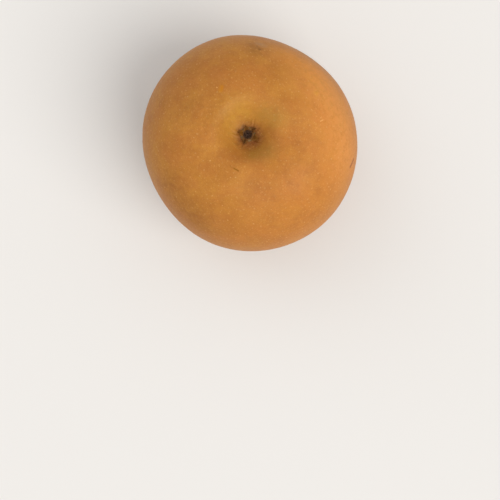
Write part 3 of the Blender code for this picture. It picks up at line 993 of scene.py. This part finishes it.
def makeDryMaterial(piece, look):
    # dead plant tissue: dark, streaked, and worn pale along its edges
    material, tree, shader = newMaterial("dry " + piece, look["gloss"])
    place = objectPlace(tree)
    blotch = noise(place, look["blotch"][piece], 4.0, 0.6)
    grit = noise(place, look["grit"], 4.0, 0.65)
    wall = blend(ease(grit, 0.35, 0.65), look["darkWall"], look["paleWall"])
    edge = ease(attributeOf(tree, "to edge"), 0.3, 0.8)
    most = look["wornShare"][piece]
    pale = times(edge, ease(grit, 0.38, 0.60, 0.35 * most, most))
    colour = blend(ease(blotch, 0.35, 0.65), look[piece]["dark"], look[piece]["brown"])
    # darker into the middle of the cup's pit: partly the dry tissue's colour, partly painted shade
    colour = blend(attributeOf(tree, "outer wall"), colour, wall)
    colour = blend(attributeOf(tree, "fade"), colour, look["faded"])
    wire(blend(pale, colour, look[piece]["worn"]), shader["Base Color"])
    wire(ease(grit, 0.3, 0.7, 0.66, 0.9), shader["Roughness"])
    bump(times(grit, look["gritDepth"]), shader["Normal"])
    return material


cupGrowth["dry"] = makeDryMaterial("cup", dryLook)
sepals["dry"] = makeDryMaterial("sepal", dryLook)
threads["dry"] = makeDryMaterial("thread", dryLook)
styles["dry"] = threads["dry"]

cupProfile = [(radius * mm, height * mm) for radius, height in cup["profile"]]
cupCurve = []
for start, stop in zip(cupProfile, cupProfile[1:]):
    for step in range(cup["steps"]):
        share = step / cup["steps"]
        cupCurve.append((start[0] + share * (stop[0] - start[0]), start[1] + share * (stop[1] - start[1])))
cupBlank = turnedBlank("cup", cupCurve + cupProfile[-1:], cup["turns"])
placePiece("calyxCup", plainMesh(cupBlank, cupTree(cupGrowth), cupGrowth), "calyx")

sepalBlank = blankOf("sepals", [origin] * len(sepalSet))
for column, title in enumerate(("turn", "size", "twist", "pitch", "fade")):
    values = sepalBlank.data.attributes.new(title, "FLOAT", "POINT").data
    for index, row in enumerate(sepalSet):
        values[index].value = row[column] if title in ("size", "fade") else math.radians(row[column])
placePiece("calyxSepals", plainMesh(sepalBlank, sepalTree(sepals), sepals), "calyx")

for name, sizes in (("calyxThreads", threads), ("calyxStyles", styles)):
    placePiece(name, plainMesh(blankOf(name, [origin]), threadTree(sizes), sizes), "calyx")


# the stem: ridged bark, clipped on a slant, so that its pale wood shows at the end

stem = {
    "radius": 1.90 * mm,
    "top": 15.68 * mm,
    "bottom": 2.0 * mm,
    "rows": 70,
    "endRings": 12,
    "turns": 96,
}

stemGrowth = {
    "top": 15.68 * mm,
    "tip": 4.48 * mm,
    "waist": 0.87,
    "flare": 0.42,  # how much wider it is where it leaves the fruit
    "flare full": 0.22,  # shares of its length
    "flare end": 0.40,
    "bend": (1.2 * mm, 0.8 * mm, 0.0),
    "slant": math.tan(math.radians(22.0)),
    "ridges": 8.0,
    "ridge depth": 0.035,
    "ridge wander": 1.5,
    "roughness": 0.08,
    "fibre": 0.10 * mm,
    "base": (0.36 * mm, -0.326 * mm, 0.0),
}

barkLook = {
    "dark": tone(74, 50, 32),
    "brown": tone(136, 100, 64),
    "weathered": tone(146, 116, 80),
    "wood": tone(178, 140, 92),
    "woodGrain": tone(150, 110, 68),
    "pith": tone(96, 64, 40),
    "bast": tone(84, 58, 38),
    "pithReach": (0.5 * mm, 0.3 * mm),
    "bastReach": (1.35 * mm, 1.6 * mm),
    "streak": 0.55 * mm,
    "streakDepth": 0.10 * mm,
    "gloss": 0.2,
}


def stemTree(values):
    tree, size, end = geometryTree("clipped stem", values)
    place = inputOf(tree, "Position")
    x, y, z = partsOf(place)
    share = calc("DIVIDE", minus(size["top"], z), minus(size["top"], size["tip"]))
    share = calc("MINIMUM", share, 1.0)
    ends = timesPlus(share, 2.0, -1.0)
    ends = calc("MINIMUM", times(ends, ends), 1.0)
    swell = timesPlus(ends, minus(1.0, size["waist"]), size["waist"])
    swell = times(swell, plus(ease(share, size["flare end"], size["flare full"], 0.0, size["flare"]), 1.0))
    wander = noise(vectorCalc("MULTIPLY", place, (1.0, 1.0, 0.4)), 2.2 * mm)
    ridge = wave(size["ridges"], timesPlus(wander, size["ridge wander"], calc("ARCTAN2", y, x)), 0.0)
    coarse = uneven(vectorCalc("MULTIPLY", place, (1.0, 1.0, 0.3)), 0.8 * mm, 3.0, 0.6)
    rough = timesPlus(ridge, size["ridge depth"], times(coarse, size["roughness"]))
    factor = times(swell, plus(rough, 0.97))
    bentX, bentY = partsOf(scaled(size["bend"], times(share, share)))[:2]
    newX = timesPlus(x, factor, bentX)
    newY = timesPlus(y, factor, bentY)

    # the slanting cut, with the ends of the fibres on it
    plane = minus(size["tip"], times(minus(newX, partsOf(size["bend"])[0]), size["slant"]))
    plane = plus(plane, times(uneven(place, 0.35 * mm), size["fibre"]))
    shape = stored(size["Geometry"], "cut", calc("LESS_THAN", z, plane))
    spot = vectorOf(newX, newY, calc("MAXIMUM", z, plane))
    shape = moved(shape, place=vectorCalc("ADD", spot, size["base"]))
    finishTree(merged(shape, 0.004 * mm), size["bark"], end)
    return tree


def makeBarkMaterial(look, base, bend):
    material, tree, shader = newMaterial("bark and cut wood", look["gloss"])
    place = objectPlace(tree)
    streaks = noise(vectorCalc("MULTIPLY", place, (1.0, 1.0, 0.25)), look["streak"], 4.0, 0.6)
    patches = noise(place, 2.2 * mm, 3.0)
    bark = blend(ease(streaks, 0.32, 0.68), look["dark"], look["brown"])
    bark = blend(ease(patches, 0.5, 0.7, 0.0, 0.5), bark, look["weathered"])

    # pale wood with dark pith in its middle and dark bast at its rim
    middle = (base[0] + bend[0], base[1] + bend[1], 0.0)
    out = vectorCalc("MULTIPLY", vectorCalc("SUBTRACT", place, middle), (1.0, 1.0, 0.0))
    out = vectorCalc("LENGTH", out)
    wood = blend(ease(noise(place, 0.3 * mm, 3.0), 0.35, 0.65), look["wood"], look["woodGrain"])
    wood = blend(ease(out, *look["pithReach"], 0.0, 0.8), wood, look["pith"])
    wood = blend(ease(out, *look["bastReach"], 0.0, 0.85), wood, look["bast"])
    wire(blend(attributeOf(tree, "cut"), bark, wood), shader["Base Color"])
    wire(ease(streaks, 0.3, 0.7, 0.68, 0.88), shader["Roughness"])
    bump(times(streaks, look["streakDepth"]), shader["Normal"])
    return material


stemGrowth["bark"] = makeBarkMaterial(barkLook, stemGrowth["base"], stemGrowth["bend"])
stemProfile = [(0.0, stem["top"]), (0.5 * stem["radius"], stem["top"])]
for row in range(stem["rows"] + 1):
    stemProfile.append((stem["radius"], stem["top"] + (stem["bottom"] - stem["top"]) * row / stem["rows"]))
for step in range(1, stem["endRings"] + 1):
    stemProfile.append((stem["radius"] * (1.0 - step / stem["endRings"]), stem["bottom"]))
stemBlank = turnedBlank("stalk", stemProfile, stem["turns"])
placePiece("stemStalk", plainMesh(stemBlank, stemTree(stemGrowth), stemGrowth), "stem")


# the studio: a pale floor in pale air, broad soft light from the front right, a little from the back left

studio = {
    "floor": tone(221, 219, 216),
    # far off the floor is painted darker, as shade, to meet the air
    "floorFar": tone(199, 198, 199),
    "floorSize": 30.0,
    "air": tone(246, 245, 244),
    "airStrength": 0.80,
    "key": {
        "from": (1.22, -1.06, 1.72),
        "spread": math.radians(46.5),
        "strength": 1.88,
        "colour": (1.0, 0.98, 0.95),
    },
    "fill": {
        "from": (-1.4, 1.1, 1.6),
        "spread": math.radians(42.0),
        "strength": 0.30,
        "colour": (0.95, 0.97, 1.0),
    },
    "lens": 64.5,
    "cameraAt": (0.0001, -0.0521, 0.49),
}


def makeFloor(colour, far, size):
    corners = [(-size, -size, 0.0), (size, -size, 0.0), (size, size, 0.0), (-size, size, 0.0)]
    floor = blankOf("floor", corners, [], [(0, 1, 2, 3)])
    material, tree, shader = newMaterial("pale floor", 0.2)
    place = objectPlace(tree)
    darker = [0.985 * part for part in colour[:3]] + [1.0]
    near = blend(noise(place, 0.8 * mm), darker, colour)
    # darker with distance: painted shade, so that the far floor is as bright as the air
    wire(blend(ease(vectorCalc("LENGTH", place), 0.5, 3.0), near, far), shader["Base Color"])
    shader["Roughness"].default_value = 0.85
    floor.data.materials.append(material)


def makeLight(name, light):
    # soft light from one side, alike all over the floor
    data = bpy.data.lights.new(name, "SUN")
    data.angle = light["spread"]
    data.energy = light["strength"]
    data.color = light["colour"]
    lamp = inScene(name, data)
    lamp.location = light["from"]
    lamp.rotation_euler = Vector(light["from"]).to_track_quat("Z", "Y").to_euler()


def makeAir(colour, strength):
    world = bpy.data.worlds.new("air")
    world.use_nodes = True
    background = world.node_tree.nodes["Background"]
    background.inputs["Color"].default_value = colour
    background.inputs["Strength"].default_value = strength
    bpy.context.scene.world = world


def makeCamera(lens, at):
    data = bpy.data.cameras.new("camera")
    data.lens = lens
    data.sensor_width = 36.0
    data.clip_start = 0.01
    camera = inScene("camera", data)
    camera.location = at
    bpy.context.scene.camera = camera


makeFloor(studio["floor"], studio["floorFar"], studio["floorSize"])
for name in ("key", "fill"):
    makeLight(name, studio[name])
makeAir(studio["air"], studio["airStrength"])
makeCamera(studio["lens"], studio["cameraAt"])
bpy.context.scene.view_settings.view_transform = "Standard"
print("studio: floor, lights and camera")
